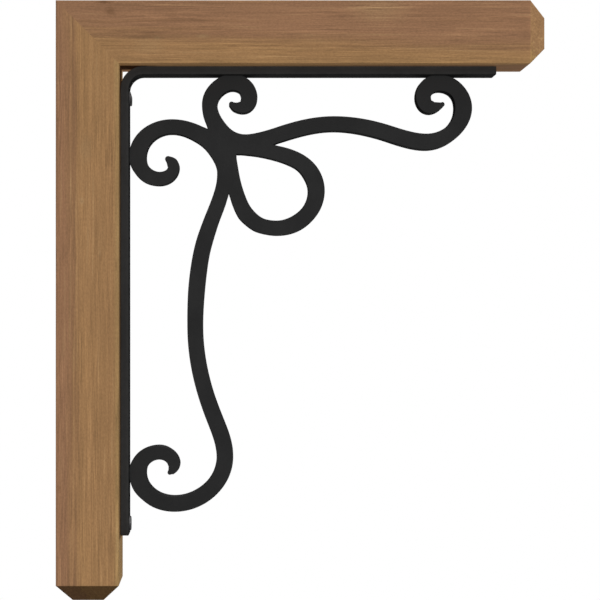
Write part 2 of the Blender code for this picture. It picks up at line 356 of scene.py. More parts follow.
def mottle_effect():
    """Cloudy unevenness from 0 to 1."""
    tree, w, given, result = effect(
        "Mottle", (("Vector", "vector", NO_VECTOR), ("Scale", "value", 30.0)), (("Value", "value"),),
    )
    w.feed(result["Value"], w.span(w.noise(given["Vector"], given["Scale"], 4.0, 0.58), 0.32, 0.68))
    return tree


# Where the painted shade in the inner corner fades, and how ragged it is
FACE_SKIN = (0.7 * MM, 0.2 * MM)
SHADE_RAGGED, SHADE_RAGGED_SCALE = 3.0 * MM, 160.0
SHADE_FADE = (0.2 * MM, 3.5 * MM)
BESIDE_FADE, BESIDE_LEAST = 26.0 * MM, 0.25
BESIDE_START = (10.0 * MM, 30.0 * MM)
BESIDE_END = 6.0 * MM
MARGIN_START = (6.0 * MM, 20.0 * MM)


def corner_grime_effect():
    """Painted shade on an inner face, in line with the bar from the corner to Reach, and thinner beside the
    bar.

    Vector's X is the depth of the face, its Y lies across the bar and its Z is the distance from the corner.
    Margin is where the face lies clear of the bar.
    """
    tree, w, given, result = effect(
        "Corner Grime",
        (("Vector", "vector", NO_VECTOR), ("Face", "value", 0.06), ("Reach", "value", 10.0 * MM),
         ("Bar Side", "value", 19.0 * MM), ("Bar End", "value", 0.4), ("Beside", "value", 0.5)),
        (("Mask", "value"), ("Margin", "value")),
    )
    parts = w.split(given["Vector"])
    on_face = w.span(parts["X"], *(w.calc("SUBTRACT", given["Face"], skin) for skin in FACE_SKIN))
    off_bar = w.calc("SUBTRACT", w.calc("ABSOLUTE", parts["Y"]), given["Bar Side"])

    wobble = w.span(w.noise(given["Vector"], SHADE_RAGGED_SCALE), 0.3, 0.7, -SHADE_RAGGED, SHADE_RAGGED)
    run = w.calc("ADD", parts["Z"], wobble)
    near = w.span(run, w.calc("MULTIPLY", given["Reach"], 0.75), given["Reach"], 1.0, 0.0)
    ahead = w.calc("MULTIPLY", near, w.span(off_bar, *SHADE_FADE, 1.0, 0.0))

    stop = w.span(parts["Z"], given["Bar End"], w.calc("ADD", given["Bar End"], BESIDE_END), 1.0, 0.0)
    along = w.calc("MULTIPLY", stop, w.span(parts["Z"], *BESIDE_START))
    beside = w.calc("MULTIPLY", w.span(off_bar, 0.0, BESIDE_FADE, 1.0, BESIDE_LEAST), along)
    beside = w.calc("MULTIPLY", beside, given["Beside"])

    w.feed(result["Mask"], w.calc("MULTIPLY", on_face, w.calc("MAXIMUM", ahead, beside)))
    w.feed(result["Margin"], w.calc("MULTIPLY", on_face, w.span(off_bar, *MARGIN_START)))
    return tree


def edge_wear_effect():
    """Where an edge is rubbed: the Edge value, broken up by noise."""
    tree, w, given, result = effect(
        "Edge Wear",
        (("Vector", "vector", NO_VECTOR), ("Edge", "value", 0.0), ("Scale", "value", 120.0),
         ("Amount", "value", 0.5)),
        (("Mask", "value"),),
    )
    broken = w.span(w.noise(given["Vector"], given["Scale"], 3.0, 0.6), 0.35, 0.70, 0.15, 1.0)
    rubbed = w.calc("MULTIPLY", given["Edge"], broken)
    w.feed(result["Mask"], w.calc("MULTIPLY", rubbed, given["Amount"], clamp=True))
    return tree


SKIN_BROAD_SCALE, SKIN_BROAD = 0.09, 0.65


def coating_skin_effect():
    """The fine skin of a sprayed or brushed coating, as a height from 0 to 1."""
    tree, w, given, result = effect(
        "Coating Skin", (("Vector", "vector", NO_VECTOR), ("Scale", "value", 900.0)), (("Height", "value"),),
    )
    fine = w.noise(given["Vector"], given["Scale"])
    broad = w.noise(given["Vector"], w.calc("MULTIPLY", given["Scale"], SKIN_BROAD_SCALE))
    height = w.calc("MULTIPLY_ADD", broad, SKIN_BROAD, w.calc("MULTIPLY", fine, 1.0 - SKIN_BROAD))
    w.feed(result["Height"], height)
    return tree


EFFECTS = {}


def shared_effects():
    """Builds each effect once and keeps it by name."""
    if not EFFECTS:
        EFFECTS.update(
            knot=soft_knot_effect(), rings=growth_rings_effect(), fibre=fibre_effect(),
            mottle=mottle_effect(), grime=corner_grime_effect(), wear=edge_wear_effect(),
            skin=coating_skin_effect(),
        )
    return EFFECTS


# Materials

def new_material(name):
    """A new material, its wiring and its Principled shader."""
    material = bpy.data.materials.new(name)
    material.use_nodes = True
    return material, Wiring(material.node_tree), material.node_tree.nodes["Principled BSDF"]


def rgba(colour, factor=1.0):
    return (colour[0] * factor, colour[1] * factor, colour[2] * factor, 1.0)


def mottled(w, place, scale):
    return w.group(shared_effects()["mottle"], {"Vector": place, "Scale": scale})["Value"]


def rubbed_edges(w, place, scale, amount):
    """Where the piece's edges are rubbed, from the edge values in its mesh."""
    edge = w.node("Attribute", attribute_name="edge").outputs["Fac"]
    inputs = {"Vector": place, "Edge": edge, "Scale": scale, "Amount": amount}
    return w.group(shared_effects()["wear"], inputs)["Mask"]


def give_bumps(w, shader, height, strength, distance):
    bump = w.node("Bump", {"Strength": strength, "Distance": distance, "Height": height})
    w.feed(shader.inputs["Normal"], bump.outputs["Normal"])


class Timber(NamedTuple):
    """How one timber is cut from its log, how its faces have aged, and the light and shade painted on them.
    """

    # Takes (along, across, deep) to a place in the model
    place: Callable
    # Takes x, y and z to (across, deep, along) in the log
    to_grain: Callable
    # The same with sockets, or with a direction's sockets when told to turn only
    from_object: Callable
    # Where the pith lies: across, deep
    pith: tuple
    knots: tuple
    pales: tuple
    # The heartwood's radius, how that grows along the grain, and its share of the set colour
    heart_radius: float
    heart_lean: float
    heart_share: float
    # How far along the log the timber was cut
    shift: float
    end_colour: tuple
    inner_tint: tuple
    # How bright the edge beside the wall or the load is
    wall_edge: float
    # Where the inner corner lies along the grain, how far from it the bar ends, and the painted shade beside
    # the bar
    corner_along: float
    bar_end: float
    beside: float
    # How much paler the inner face is clear of the bar, as painted light
    margin_painted_light: float


def post_from_object(w, parts, turn_only=False):
    """The post's grain runs along Z."""
    return parts["X"], parts["Y"], parts["Z"]


def arm_from_object(w, parts, turn_only=False):
    """The arm's grain runs along X, and its top face takes the place of the post's wall face."""
    across = parts["Z"] if turn_only else w.calc("SUBTRACT", TOP, parts["Z"])
    return across, parts["Y"], parts["X"]


# Marks on the timbers, in millimetres: knots by out, across, down, size, stretch, darkness, bend
POST_KNOTS = (
    (26.3, -44.4, 202.0, 1.1, 1.3, 0.22, 0.10),
    (45.4, -44.4, 259.0, 1.7, 3.4, 0.24, 0.25),
    (60.9, -44.2, 266.0, 1.5, 4.6, 0.34, 0.20),
    (51.0, -44.4, 160.0, 1.0, 22.0, 0.22, 0.00),
    (22.0, -44.4, 232.0, 0.9, 4.5, 0.20, 0.10),
    (1.0, -43.0, 113.0, 1.8, 2.4, 0.45, 0.40),
    (3.6, -44.4, 491.0, 2.2, 2.2, 0.32, 0.40),
    (20.0, 44.4, 330.0, 5.0, 1.5, 0.62, 0.60),
    (0.0, 12.0, 180.0, 6.0, 1.4, 0.62, 0.60),
    (63.5, -33.0, 300.0, 2.4, 2.0, 0.5, 0.45),
    (63.5, 34.0, 440.0, 3.4, 1.7, 0.6, 0.60),
)
ARM_KNOTS = (
    (54.6, -44.4, 11.5, 5.2, 1.15, 0.50, 0.20),
    (49.0, -44.4, 1.8, 1.7, 5.0, 0.80, 0.10),
    (117.5, -44.4, 14.0, 11.0, 0.55, 0.12, 0.00),
    (329.0, -44.4, 40.2, 1.5, 16.0, 0.24, 0.00),
    (178.0, -44.4, 46.0, 1.6, 4.0, 0.20, 0.20),
    (330.0, 44.4, 30.0, 4.6, 1.5, 0.6, 0.60),
    (250.0, 10.0, 0.0, 5.4, 1.4, 0.62, 0.60),
    (410.0, -20.0, 0.0, 3.0, 1.8, 0.5, 0.50),
)
# Pale marks by out, across, down, size, stretch, strength
POST_PALES = (
    (26.3, -44.4, 202.0, 2.8, 1.5, 0.55),
    (30.0, -44.4, 150.0, 7.0, 2.2, 0.30),
    (44.4, -44.4, 254.0, 1.3, 4.0, 0.45),
)
ARM_PALES = (
    (325.0, -44.4, 8.0, 17.0, 2.0, 0.34),
    (93.0, -44.4, 46.0, 9.0, 2.0, 0.30),
    (148.0, -44.4, 36.0, 2.4, 3.0, 0.50),
    (102.0, -44.4, 38.0, 2.6, 1.6, 0.45),
)

POST = Timber(
    place=lambda along, across, deep: Vector((across, deep, TOP - along)),
    to_grain=lambda x, y, z: Vector((x, y, z)), from_object=post_from_object,
    pith=(-46.0 * MM, 30.0 * MM), knots=POST_KNOTS, pales=POST_PALES,
    heart_radius=94.0 * MM, heart_lean=-0.006, heart_share=1.02, shift=1.37,
    end_colour=(0.80, 0.78, 0.66), inner_tint=(0.98, 1.08, 1.04), wall_edge=0.80,
    corner_along=TOP - THICK, bar_end=TOP - THICK - STRAP_LOW.z, beside=0.72, margin_painted_light=0.0,
)
ARM = Timber(
    place=lambda along, across, deep: Vector((along, deep, TOP - across)),
    to_grain=lambda x, y, z: Vector((TOP - z, y, x)), from_object=arm_from_object,
    pith=(-30.0 * MM, 38.0 * MM), knots=ARM_KNOTS, pales=ARM_PALES,
    heart_radius=106.6 * MM, heart_lean=0.027, heart_share=0.975, shift=4.21,
    end_colour=(1.24, 1.32, 1.16), inner_tint=(0.98, 1.00, 0.98), wall_edge=0.97,
    corner_along=THICK, bar_end=STRAP_HIGH.x - THICK, beside=0.0, margin_painted_light=0.30,
)

RING_WANDER = 4.2 * MM
FIBRE_WIDTH, FIBRE_LENGTH = 1.0 * MM, 28.0 * MM
# Clouds in the wood: their scale, and the share of it that holds along the grain
WOOD_CLOUDS = {"cloud": (42.0, 0.35), "drift": (9.0, 0.6), "speck": (700.0, 0.5)}
PATCH_SCALE, PATCH = (70.0, 70.0, 11.0), (0.30, 0.70, 0.35, 1.75)
# The heartwood's border: where its lean is nil, how ragged it is, where it turns to sapwood, its dark rim
LEAN_MIDDLE = 195.0 * MM
BORDER_RAGGED = {"band": 3.5 * MM, "strand": 3.0 * MM}
SAPWOOD_START, SAPWOOD_FULL = -6.0 * MM, 8.0 * MM
RIM_RISE, RIM_FALL = (-5.0 * MM, -1.0 * MM), (1.0 * MM, 6.0 * MM)
LATEWOOD_POWER, LATEWOOD_SHARE = 2.2, (0.05, 0.62)
# How each kind of unevenness scales the wood's colour, at 0 and at 1
WOOD_SWING = {
    "year": (0.97, 1.03), "fine": (0.83, 1.17), "streak": (0.88, 1.12), "band": (0.92, 1.08),
    "rim": (1.0, 0.92), "cloud": (0.965, 1.035), "drift": (0.985, 1.015), "speck": (0.91, 1.09),
    "pore": (1.0, 0.83), "inner": (1.0, 0.962),
}
INNER_FADE, WALL_FADE = (34.0 * MM, 50.0 * MM), (0.2 * MM, 3.4 * MM)
INNER_TINT_START, INNER_TINT_FULL = THICK - 7.0 * MM, THICK - 1.0 * MM
# How far the painted corner shade reaches, and how dark it gets
SHADE_REACH, SHADE_STRENGTH = 36.0 * MM, 0.97
END_FACING = (0.45, 0.72)
RUBBED_WOOD = (1.35, 1.33, 1.30)


def marked_grain(w, grain, timber):
    """The grain bent round the knots, the knots' mask and the pale marks' mask."""
    effect_tree = shared_effects()["knot"]
    bent, knot, pale_mark = grain, 0.0, 0.0

    def mark(out, across, down, size, stretch, darkness):
        middle = timber.to_grain(out * MM, across * MM, TOP - down * MM) + Vector((0.0, 0.0, timber.shift))
        return {
            "Vector": grain, "Middle": middle, "Size": size * MM, "Stretch": stretch, "Darkness": darkness,
        }

    for *place, bend in timber.knots:
        after = w.group(effect_tree, {**mark(*place), "Bent": bent, "Bend": bend, "Mask": knot})
        bent, knot = after["Bent"], after["Mask"]
    for place in timber.pales:
        pale_mark = w.group(effect_tree, {**mark(*place), "Bend": 0.0, "Mask": pale_mark})["Mask"]
    return bent, knot, pale_mark


def wood_figure(w, bent, settings, timber):
    """What is uneven in the wood itself, as sockets by name."""
    effects = shared_effects()
    rings = w.group(effects["rings"], {
        "Vector": bent, "Pith": (*timber.pith, 0.0), "Ring Width": settings.ring_width, "Wander": RING_WANDER,
    })
    fibre = w.group(effects["fibre"], {"Vector": bent, "Width": FIBRE_WIDTH, "Length": FIBRE_LENGTH})
    figure = {
        "late": rings["Late"], "year": rings["Tone"], "radius": rings["Radius"], "thread": fibre["Fine"],
        "strand": fibre["Streak"], "band": fibre["Band"], "pore": fibre["Pore"],
    }
    for label, (scale, share) in WOOD_CLOUDS.items():
        figure[label] = mottled(w, w.vector("MULTIPLY", bent, (1.0, 1.0, share)), scale)

    # Threads and strands stand out in some places and fade in others
    patch = w.span(w.noise(w.vector("MULTIPLY", bent, PATCH_SCALE)), *PATCH)
    for label, plain in (("fine", "thread"), ("streak", "strand")):
        figure[label] = w.calc("MULTIPLY_ADD", w.calc("SUBTRACT", figure[plain], 0.5), patch, 0.5)
    return figure


def wood_colour(w, figure, across, along, pale_mark, settings, timber):
    """Heartwood to sapwood with a ragged border, then streaks, rings and the swings of tone."""
    lean = w.calc("MULTIPLY", w.calc("SUBTRACT", along, LEAN_MIDDLE), timber.heart_lean)
    border = w.calc("SUBTRACT", figure["radius"], lean)
    for label, ragged in BORDER_RAGGED.items():
        border = w.calc("ADD", border, w.span(figure[label], 0.0, 1.0, -ragged, ragged, smooth=False))
    border = w.calc("SUBTRACT", border, timber.heart_radius)
    figure["rim"] = w.calc("MULTIPLY", w.span(border, *RIM_RISE), w.span(border, *RIM_FALL, 1.0, 0.0))

    heart = rgba(settings.heartwood, timber.heart_share)
    colour = w.blend(w.span(border, SAPWOOD_START, SAPWOOD_FULL), heart, rgba(settings.sapwood))
    colour = w.blend(w.span(figure["drift"], 0.0, 1.0, 0.12, 0.0), colour, heart)
    strength = w.span(figure["cloud"], 0.2, 0.8, 0.12, 0.42)
    pale = w.calc("MULTIPLY", w.span(figure["strand"], 0.55, 0.95), strength)
    colour = w.blend(pale, colour, rgba(settings.pale_streak))
    colour = w.blend(pale_mark, colour, rgba(settings.pale_streak, 0.92))
    strong = w.calc("POWER", figure["year"], LATEWOOD_POWER)
    share = w.calc("MULTIPLY", figure["late"], w.span(strong, 0.0, 1.0, *LATEWOOD_SHARE, smooth=False))
    colour = w.blend(share, colour, rgba(settings.latewood))

    figure["inner"] = w.span(across, *INNER_FADE)
    figure["wall"] = w.span(across, *WALL_FADE)
    tone = 1.0
    for label, (low, high) in {**WOOD_SWING, "wall": (timber.wall_edge, 1.0)}.items():
        tone = w.calc("MULTIPLY", tone, w.calc("MULTIPLY_ADD", figure[label], high - low, low))
    return w.tint(colour, w.grey(tone))


def paint_corner_light_and_shade(w, colour, across, deep, along, settings, timber):
    """Painted light on the inner face's margins clear of the bar, and painted shade in line with the bar and
    beside it.
    """
    to_corner = w.calc("ABSOLUTE", w.calc("SUBTRACT", along, timber.corner_along))
    grime = w.group(shared_effects()["grime"], {
        "Vector": w.join(across, deep, to_corner), "Face": THICK, "Reach": SHADE_REACH,
        "Bar Side": STRAP_WIDTH / 2, "Bar End": timber.bar_end, "Beside": timber.beside,
    })
    colour = w.tint(colour, w.grey(w.calc("MULTIPLY_ADD", grime["Margin"], timber.margin_painted_light, 1.0)))
    return w.blend(w.calc("MULTIPLY", grime["Mask"], SHADE_STRENGTH), colour, rgba(settings.grime))


def wood_material(name, settings, timber):
    """Stained softwood cut from a log whose pith lies beside the timber."""
    material, w, shader = new_material(name)
    coordinates = w.node("TexCoord").outputs
    across, deep, along = timber.from_object(w, w.split(coordinates["Object"]))
    grain = w.join(across, deep, w.calc("ADD", along, timber.shift))
    bent, knot, pale_mark = marked_grain(w, grain, timber)
    figure = wood_figure(w, bent, settings, timber)

    colour = wood_colour(w, figure, across, along, pale_mark, settings, timber)
    colour = w.blend(knot, colour, rgba(settings.knot_colour))
    inner = w.span(across, INNER_TINT_START, INNER_TINT_FULL)
    colour = w.blend(inner, colour, w.tint(colour, rgba(timber.inner_tint)))
    # Painted shade where the strap shades the inner faces, painted light where they lie clear of it
    colour = paint_corner_light_and_shade(w, colour, across, deep, along, settings, timber)

    # Cut ends are tinted apart from the long faces: darker on the post's end, paler on the arm's end
    facing = timber.from_object(w, w.split(coordinates["Normal"]), turn_only=True)[2]
    end_grain = w.span(w.calc("ABSOLUTE", facing), *END_FACING)
    colour = w.blend(end_grain, colour, w.tint(colour, rgba(timber.end_colour)))
    rubbed = rubbed_edges(w, grain, 60.0, 0.30)
    w.feed(shader.inputs["Base Color"], w.blend(rubbed, colour, w.tint(colour, rgba(RUBBED_WOOD))))

    rough = w.calc("MULTIPLY_ADD", figure["late"], -0.06, w.span(figure["thread"], 0.0, 1.0, 0.62, 0.76))
    w.feed(shader.inputs["Roughness"], w.calc("MULTIPLY_ADD", end_grain, 0.12, rough))
    height = w.calc("MULTIPLY_ADD", figure["late"], 0.4, w.calc("MULTIPLY", figure["thread"], 0.6))
    height = w.calc("MULTIPLY_ADD", figure["pore"], -0.5, height)
    give_bumps(w, shader, height, strength=0.35, distance=0.25 * MM)
    shader.inputs["Specular IOR Level"].default_value = 0.3
    return material


RUBBED_THIN = (1.22, 1.20, 1.18)
# Painted shade on faces turned down: where it sets in and how dark it gets
UNDERSIDE_SHADE_FACING, UNDERSIDE_SHADE = (-0.95, 0.10), 0.38
# Where the painted shade on faces turned away from the wall sets in
INNER_SHADE_FACING = (0.2, 0.9)


def iron_material(name, settings, brightness=1.0, inner_side_shade=1.0):
    """Flat bar iron under a thin satin black coating, rubbed where its mesh has edge values, with painted
    shade below.

    brightness lifts the whole coating as painted light, and the side that faces away from the wall is
    darkened by the last value, as painted shade.
    """
    material, w, shader = new_material(name)
    coordinates = w.node("TexCoord").outputs
    place = coordinates["Object"]
    cloud, fine = mottled(w, place, 26.0), mottled(w, place, 240.0)
    rubbed = rubbed_edges(w, place, 150.0, 0.45)

    coating = w.blend(cloud, *(rgba(settings.coating, share * brightness) for share in (0.88, 1.12)))
    coating = w.blend(w.calc("MULTIPLY", fine, 0.5), coating, w.tint(coating, rgba(RUBBED_THIN)))
    # Painted shade: the coating is darker on faces turned down, and on faces turned away from the wall
    turned = w.split(coordinates["Normal"])
    below = w.span(turned["Z"], *UNDERSIDE_SHADE_FACING, UNDERSIDE_SHADE, 1.0)
    coating = w.tint(coating, w.grey(w.calc(
        "MULTIPLY", below, w.span(turned["X"], *INNER_SHADE_FACING, 1.0, inner_side_shade),
    )))
    w.feed(shader.inputs["Base Color"], w.blend(rubbed, coating, rgba(settings.rubbed)))

    rough = w.calc("ADD", w.span(cloud, 0.0, 1.0, 0.42, 0.50), w.span(fine, 0.0, 1.0, -0.03, 0.04))
    w.feed(shader.inputs["Roughness"], w.calc("MULTIPLY_ADD", rubbed, -0.10, rough))
    w.feed(shader.inputs["Metallic"], w.calc("MULTIPLY", rubbed, 0.45))
    skin = w.group(shared_effects()["skin"], {"Vector": place, "Scale": 900.0})["Height"]
    give_bumps(w, shader, skin, strength=0.30, distance=0.18 * MM)
    shader.inputs["Specular IOR Level"].default_value = 0.5
    return material


def screw_material(name, settings):
    """Blackened steel, brighter where a spanner has touched its corners."""
    material, w, shader = new_material(name)
    place = w.node("TexCoord").outputs["Object"]
    cloud = mottled(w, place, 160.0)
    rubbed = rubbed_edges(w, place, 500.0, 0.7)
    dark = w.blend(cloud, rgba(settings.finish, 0.80), rgba(settings.finish, 1.15))
    w.feed(shader.inputs["Base Color"], w.blend(rubbed, dark, rgba(settings.finish, 2.2)))
    w.feed(shader.inputs["Roughness"], w.span(cloud, 0.0, 1.0, 0.36, 0.50))
    skin = w.group(shared_effects()["skin"], {"Vector": place, "Scale": 2200.0})["Height"]
    give_bumps(w, shader, skin, strength=0.30, distance=0.10 * MM)
    shader.inputs["Metallic"].default_value = 0.55
    return material


# Shapes shared by the pieces

SHARP = math.radians(35)
CORNER_STEPS = 4
CREASE_STEPS = 3
EDGE_REACH = 2.5 * MM


def add_piece(name, mesh, sharp=SHARP):
    """Shades the mesh smooth, apart from edges over the sharp angle, and adds it to the scene."""
    mesh.shade_smooth()
    mesh.set_sharp_from_angle(angle=sharp)
    piece = bpy.data.objects.new(name, mesh)
    bpy.context.scene.collection.objects.link(piece)
    return piece


def edge_value(distance):
    """1 on an edge, falling to 0 a little way off."""
    return max(0.0, 1.0 - distance / EDGE_REACH)


def rounded_section(width, height, inset, radius, steps_wide, steps_high):
    """Points round a rounded rectangle that starts at 0 across and is centred in depth.

    Gives rows of (across, deep, distance to the nearest corner).
    """
    low, high = inset, width - inset
    side = height / 2 - inset
    radius = min(radius, (high - low) / 2 * 0.9)
    corners = ((low + radius, radius - side), (high - radius, radius - side),
               (high - radius, side - radius), (low + radius, side - radius))
    rows = []
    for number, (across, deep) in enumerate(corners):
        turn = math.pi + number * math.pi / 2
        for i in range(CORNER_STEPS + 1):
            angle = turn + math.pi / 2 * i / CORNER_STEPS
            rows.append((across + radius * math.cos(angle), deep + radius * math.sin(angle), 0.0))
        next_across, next_deep = corners[(number + 1) % 4]
        leave = turn + math.pi / 2
        first = (across + radius * math.cos(leave), deep + radius * math.sin(leave))
        last = (next_across + radius * math.cos(leave), next_deep + radius * math.sin(leave))
        length = math.dist(first, last)
        steps = steps_high if number % 2 else steps_wide
        for i in range(1, steps):
            t = i / steps
            rows.append((first[0] + (last[0] - first[0]) * t, first[1] + (last[1] - first[1]) * t,
                         length * min(t, 1 - t)))
    return rows


def crease(before, corner, after, radius):
    """The points that round a corner of a profile, each a pair."""
    back = (Vector(before) - Vector(corner)).normalized()
    ahead = (Vector(after) - Vector(corner)).normalized()
    half = back.angle(ahead) / 2
    reach = radius / math.tan(half)
    centre = Vector(corner) + (back + ahead).normalized() * radius / math.sin(half)
    start = Vector(corner) + back * reach - centre
    turn = math.pi - 2 * half
    sign = 1 if back.x * ahead.y - back.y * ahead.x < 0 else -1
    points = []
    for i in range(CREASE_STEPS + 1):
        angle = sign * turn * i / CREASE_STEPS
        swung = Vector((
            start.x * math.cos(angle) - start.y * math.sin(angle),
            start.x * math.sin(angle) + start.y * math.cos(angle),
        ))
        points.append(tuple(centre + swung))
    return points


def piece_from(name, rings):
    """A closed mesh from rings of places, each ring a list of (place, edge value)."""
    count = len(rings[0])
    places = [place for ring in rings for place, _ in ring]
    edges = [edge for ring in rings for _, edge in ring]
    faces = []
    for k in range(len(rings) - 1):
        for i in range(count):
            j = (i + 1) % count
            faces.append((k * count + i, k * count + j, (k + 1) * count + j, (k + 1) * count + i))
    faces += [tuple(range(count)), tuple(range((len(rings) - 1) * count, len(rings) * count))]
    mesh = bpy.data.meshes.new(name)
    mesh.from_pydata(places, [], faces)
    shape = bmesh.new()
    shape.from_mesh(mesh)
    bmesh.ops.recalc_face_normals(shape, faces=shape.faces)
    shape.to_mesh(mesh)
    shape.free()
    layer = mesh.attributes.new("edge", "FLOAT", "POINT")
    layer.data.foreach_set("value", edges)
    return add_piece(name, mesh)


# The timbers

MITRE_FADE = 3.0 * MM
MITRE_GAP = 0.01 * MM
ON_END = 0.01 * MM
END_HOLE = 0.5 * MM
# End facets have coarser steps and softer creases than the long faces
FACET_STEP, FACET_CREASE = 1.5, 1.5
SWAY, SWAY_SCALE = 2.2 * MM, (20.0, 20.0, 3.0)
THREAD_SCALE = (330.0, 330.0, 11.0)
RING_DEPTH = 0.55


def timber_piece(name, length, timber, settings):
    """One timber: a mitred start, four rounded long edges and an end chamfered all round."""
    steps_wide = round(THICK / settings.step_across)
    steps_high = round(DEPTH / settings.step_across)
    radius = settings.edge_round
    body = length - END_CHAMFER
    middle = THICK / 2
    first_crease = crease((0, 0), (body, 0), (length, END_CHAMFER), radius * FACET_CREASE)
    second_crease = crease((body, 0), (length, END_CHAMFER), (length, middle), radius * FACET_CREASE)
    rings = []

    # The long faces, from the mitre to the end's chamfer
    start_of_end = first_crease[0][0]
    steps = round(start_of_end / settings.step_along)
    square = rounded_section(THICK, DEPTH, 0.0, radius, steps_wide, steps_high)
    for i in range(steps):
        t = i / steps
        ring = []
        for across, deep, gap in square:
            along = (across + MITRE_GAP) * (1 - t) + start_of_end * t
            near = min(gap, start_of_end - along)
            ring.append((timber.place(along, across, deep), edge_value(near)))
        rings.append(ring)

    # The chamfer and the end's flat, as pairs of how far along and how far in
    profile = list(first_crease)
    facet_steps = round(END_CHAMFER * math.sqrt(2) / settings.step_across / FACET_STEP)
    (from_along, from_inset), (to_along, to_inset) = first_crease[-1], second_crease[0]
    for i in range(1, facet_steps):
        t = i / facet_steps
        profile.append((from_along + (to_along - from_along) * t, from_inset + (to_inset - from_inset) * t))
    profile += second_crease
    end_steps = round((middle - END_CHAMFER) / settings.step_across / FACET_STEP)
    edge_inset = second_crease[-1][1]
    for i in range(1, end_steps + 1):
        profile.append((length, edge_inset + (middle - END_HOLE - edge_inset) * i / end_steps))
    corners = ((body, 0.0), (length, END_CHAMFER))
    for along, inset in profile:
        near_crease = min(math.dist((along, inset), corner) for corner in corners)
        ring = []
        for across, deep, gap in rounded_section(THICK, DEPTH, inset, radius, steps_wide, steps_high):
            near = near_crease if along > length - ON_END else min(gap, near_crease)
            ring.append((timber.place(along, across, deep), edge_value(near)))
        rings.append(ring)
    return piece_from(name, rings)


def wood_depth(settings, timber):
    """How far the surface lies below the sawn face: soft rings are lower, and threads add a little."""
    def depth(place):
        grain = timber.to_grain(*place)
        sway = noise.noise(grain * Vector(SWAY_SCALE)) * SWAY
        radius = math.hypot(grain.x - timber.pith[0], grain.y - timber.pith[1]) + sway
        ring = 0.5 + 0.5 * math.sin(radius / settings.ring_width * 2 * math.pi)
        thread = 0.5 + 0.5 * noise.noise(grain * Vector(THREAD_SCALE))
        from_mitre = abs(place.x - (TOP - place.z))
        fade = min(1.0, from_mitre / MITRE_FADE)
        return settings.relief * (RING_DEPTH * ring + (1 - RING_DEPTH) * thread) * fade
    return depth


def sink(piece, depth_at):
    """Moves each point in along its normal by what depth_at says there."""
    mesh = piece.data
    count = len(mesh.vertices)
    places = np.empty(count * 3, np.float32)
    normals = np.empty(count * 3, np.float32)
    mesh.vertices.foreach_get("co", places)
    mesh.vertices.foreach_get("normal", normals)
    places, normals = places.reshape(-1, 3), normals.reshape(-1, 3)
    depths = np.array([depth_at(Vector(place)) for place in places.tolist()])
    mesh.vertices.foreach_set("co", (places - normals * depths[:, None]).astype(np.float32).ravel())
    mesh.update()


# The strap

STRAP_STEPS_WIDE, STRAP_STEPS_HIGH = 5, 18
STRAP_LEG_STEP = 6.0 * MM
STRAP_TURN_STEPS = 16


def strap_path(outer):
    """Places along the bar's outer side, each with the way to its inner side; outer is the bend's radius."""
    level = TOP - STRAP_BACK
    turn_x, turn_z = STRAP_BACK + outer, level - outer
    path = []
    arm_run = STRAP_HIGH.x - turn_x
    steps = round(arm_run / STRAP_LEG_STEP)
    for i in range(steps):
        path.append((Vector((STRAP_HIGH.x - arm_run * i / steps, 0, level)), Vector((0, 0, -1))))
    for i in range(STRAP_TURN_STEPS + 1):
        angle = math.pi / 2 + math.pi / 2 * i / STRAP_TURN_STEPS
        out = Vector((math.cos(angle), 0, math.sin(angle)))
        path.append((Vector((turn_x, 0, turn_z)) + out * outer, -out))
    post_run = turn_z - STRAP_LOW.z
    steps = round(post_run / STRAP_LEG_STEP)
    for i in range(1, steps + 1):
        path.append((Vector((STRAP_BACK, 0, turn_z - post_run * i / steps)), Vector((1, 0, 0))))
    return path


def strap_piece(name, settings):
    """The flat bar: along the arm's underside, round the bend and down the post."""
    thick, radius = settings.strap_thick, settings.edge_round

    def ring_at(spot, inward, inset=0.0):
        section = rounded_section(thick, STRAP_WIDTH, inset, radius, STRAP_STEPS_WIDE, STRAP_STEPS_HIGH)
        return [
            (spot + inward * across + Vector((0, deep, 0)), edge_value(0.0 if inset > 0 else gap))
            for across, deep, gap in section
        ]

    def end_rings(spot, inward, ahead):
        """Rings that draw in to round an end, from the end on."""
        made = []
        for i in range(CREASE_STEPS + 1):
            angle = math.pi / 2 * i / CREASE_STEPS
            along = radius * (1 - math.cos(angle))
            made.append(ring_at(spot + ahead * along, inward, radius * (1 - math.sin(angle))))
        return made

    path = strap_path(settings.bend_radius + thick)
    rings = end_rings(*path[0], Vector((-1, 0, 0)))
    rings += [ring_at(spot, inward) for spot, inward in path[1:-1]]
    rings += reversed(end_rings(*path[-1], Vector((0, 0, 1))))
    return piece_from(name, rings)


# The scrollwork

SAME_PLACE = 0.01 * MM
SAME_POINT = 0.002 * MM
IN_LINE = math.radians(0.5)
TINIEST_STEP = 0.3 * MM
OUTLINE_CORNER = math.radians(24)
OUTLINE_STEP = 1.5 * MM
EVEN_REACH = 4.0 * MM
EVEN_BELOW, KEPT_ABOVE = 0.6 * MM, 1.1 * MM
RIM_STEPS = 3
RIM_ANGLE = math.radians(60)
SCROLL_SHARP = math.radians(40)


def merge_in_line(shape):
    """Merges the faces that lie in one plane and the edges that lie in line."""
    bmesh.ops.dissolve_limit(shape, angle_limit=IN_LINE, verts=list(shape.verts), edges=list(shape.edges))


